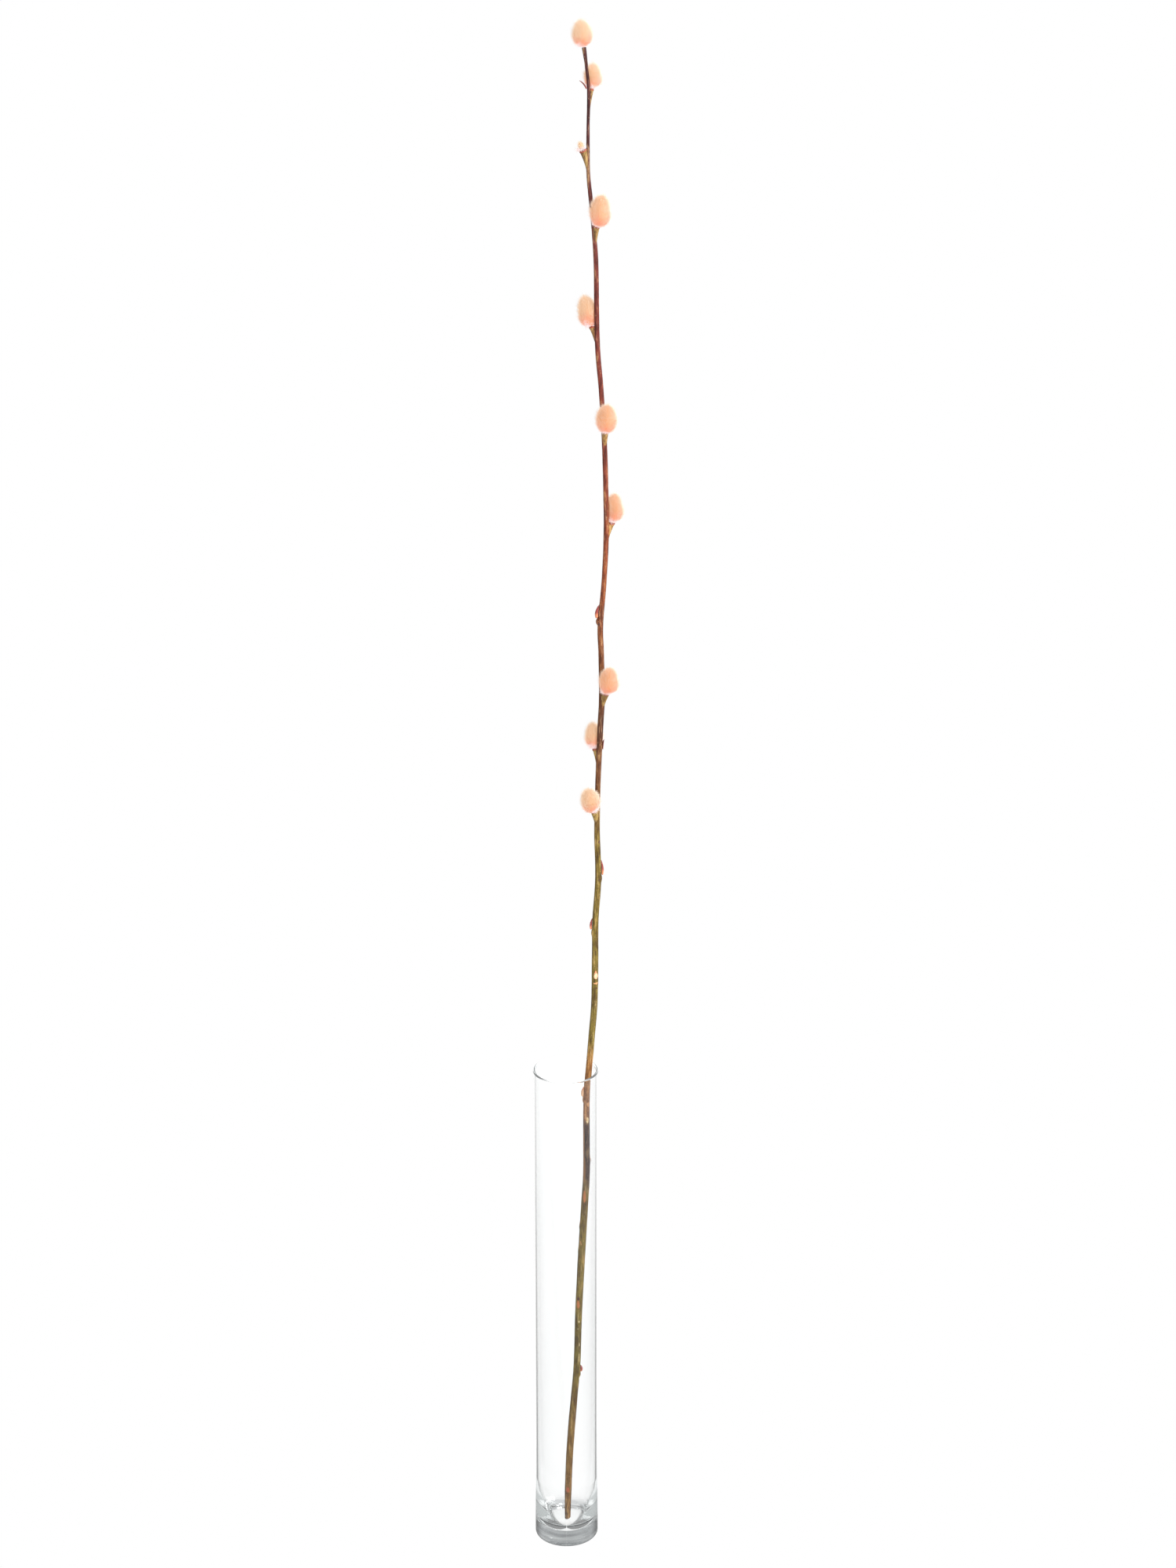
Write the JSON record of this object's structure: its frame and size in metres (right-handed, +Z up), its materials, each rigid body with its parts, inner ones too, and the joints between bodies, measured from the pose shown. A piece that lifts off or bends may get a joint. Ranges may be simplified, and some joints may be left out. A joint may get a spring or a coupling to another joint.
{
  "type": "willow stem in a vase",
  "caption": "Tall slim clear glass cylinder vase holding one leaning pussy willow stem with silky catkins and small red-brown buds.",
  "frame": {"origin": "centre of the vase's flat underside", "axes": "+Z up along the vase's axis; the stem leans towards +X; -Y is the front"},
  "size_m": [0.0696, 0.0622, 1.2004],
  "materials": {
    "clear_glass": "gloss",
    "bark": "satin",
    "catkin_silk": "matte",
    "bud_scale": "satin"
  },
  "bodies": {
    "root": {"vase": "clear_glass", "stem": "bark", "catkin_01": "catkin_silk", "catkin_02": "catkin_silk", "catkin_03": "catkin_silk", "catkin_04": "catkin_silk", "catkin_05": "catkin_silk", "catkin_06": "catkin_silk", "catkin_07": "catkin_silk", "catkin_08": "catkin_silk", "catkin_09": "catkin_silk", "silk_wisp": "catkin_silk", "bud_01": "bud_scale", "bud_02": "bud_scale", "bud_03": "bud_scale", "bud_04": "bud_scale", "bud_05": "bud_scale", "bud_06": "bud_scale", "scale_01": "bud_scale", "scale_02": "bud_scale"}
  },
  "joints": []
}
